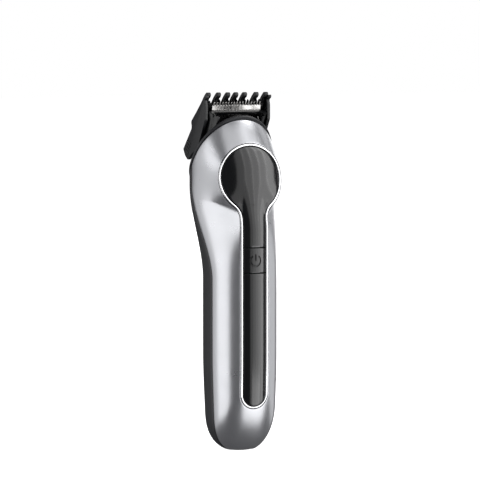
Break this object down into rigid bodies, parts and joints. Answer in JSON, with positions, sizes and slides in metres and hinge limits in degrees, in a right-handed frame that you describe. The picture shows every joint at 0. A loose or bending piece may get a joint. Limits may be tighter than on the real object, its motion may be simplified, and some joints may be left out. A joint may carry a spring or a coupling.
{
  "type": "hair clipper",
  "caption": "Cordless hair clipper with a silver front shell, black insert with power button, lift-off blade head and pull-off guide comb.",
  "frame": {"origin": "centre of the flat end face, on the end plug", "axes": "+Z along the handle towards the blades, -Y out of the front with the button, X across"},
  "size_m": [0.0446, 0.0462, 0.1795],
  "materials": {
    "silver": "satin silver lacquer",
    "housing": "satin black moulding",
    "chrome_trim": "polished plating",
    "gloss_insert": "gloss black moulding",
    "screw_steel": "zinc plated",
    "board": "solder mask",
    "inner_black": "moulded",
    "cell_wrap": "shrink sleeve",
    "brass": "turned",
    "comb_black": "satin moulding",
    "blade_steel": "ground and polished"
  },
  "bodies": {
    "handle": {"front_cover": "silver", "rear_housing": "housing", "base_plug": "housing", "trim_bezel": "chrome_trim", "upper_panel": "gloss_insert", "lower_panel": "gloss_insert", "housing_screw_1": "screw_steel", "housing_screw_2": "screw_steel", "housing_screw_3": "screw_steel", "housing_screw_4": "screw_steel", "circuit_board": "board", "switch_body": "inner_black", "battery_cell": "cell_wrap", "battery_contact_negative": "screw_steel", "battery_contact_positive": "screw_steel", "motor_can": "screw_steel", "motor_end_cap": "inner_black", "motor_mount": "screw_steel", "shaft_bush": "brass", "head_frame": "housing", "charge_contact_left": "brass", "charge_contact_right": "brass", "motor_screw_left": "screw_steel", "motor_screw_right": "screw_steel"},
    "button": {"power_button": "gloss_insert"},
    "switch_stem": {"switch_plunger": "inner_black"},
    "rotor": {"drive_shaft": "screw_steel", "eccentric_cam": "inner_black"},
    "blade_head": {"blade_carrier": "comb_black", "fixed_blade": "blade_steel", "tension_spring": "blade_steel", "blade_screw_left": "screw_steel", "blade_screw_right": "screw_steel"},
    "cutter": {"cutter_blade": "blade_steel", "cutter_driver": "comb_black"},
    "comb": {"comb_attachment": "comb_black"}
  },
  "joints": [
    {"name": "button_press", "type": "slide", "parent": "handle", "child": "button", "axis": [0, 1, 0], "range_m": [0, 0.00045], "stiffness_N_per_m": 2000, "springref_m": -0.0002},
    {"name": "switch_press", "type": "slide", "parent": "handle", "child": "switch_stem", "axis": [0, 1, 0], "range_m": [0, 0.00045]},
    {"name": "shaft_spin", "type": "hinge", "parent": "handle", "child": "rotor", "pos_m": [0, 0.0055, 0.14], "axis": [0, 0, 1], "continuous": true},
    {"name": "head_lift", "type": "slide", "parent": "handle", "child": "blade_head", "axis": [0, 0.8575, 0.5145], "range_m": [0, 0.02]},
    {"name": "cutter_slide", "type": "slide", "parent": "blade_head", "child": "cutter", "axis": [1, 0, 0], "range_m": [-0.0008, 0.0008]},
    {"name": "comb_pull", "type": "slide", "parent": "blade_head", "child": "comb", "axis": [0, -0.5145, 0.8575], "range_m": [0, 0.045]}
  ],
  "couplings": [
    {"joint": "switch_press", "follows": "button_press", "ratio": 1}
  ]
}
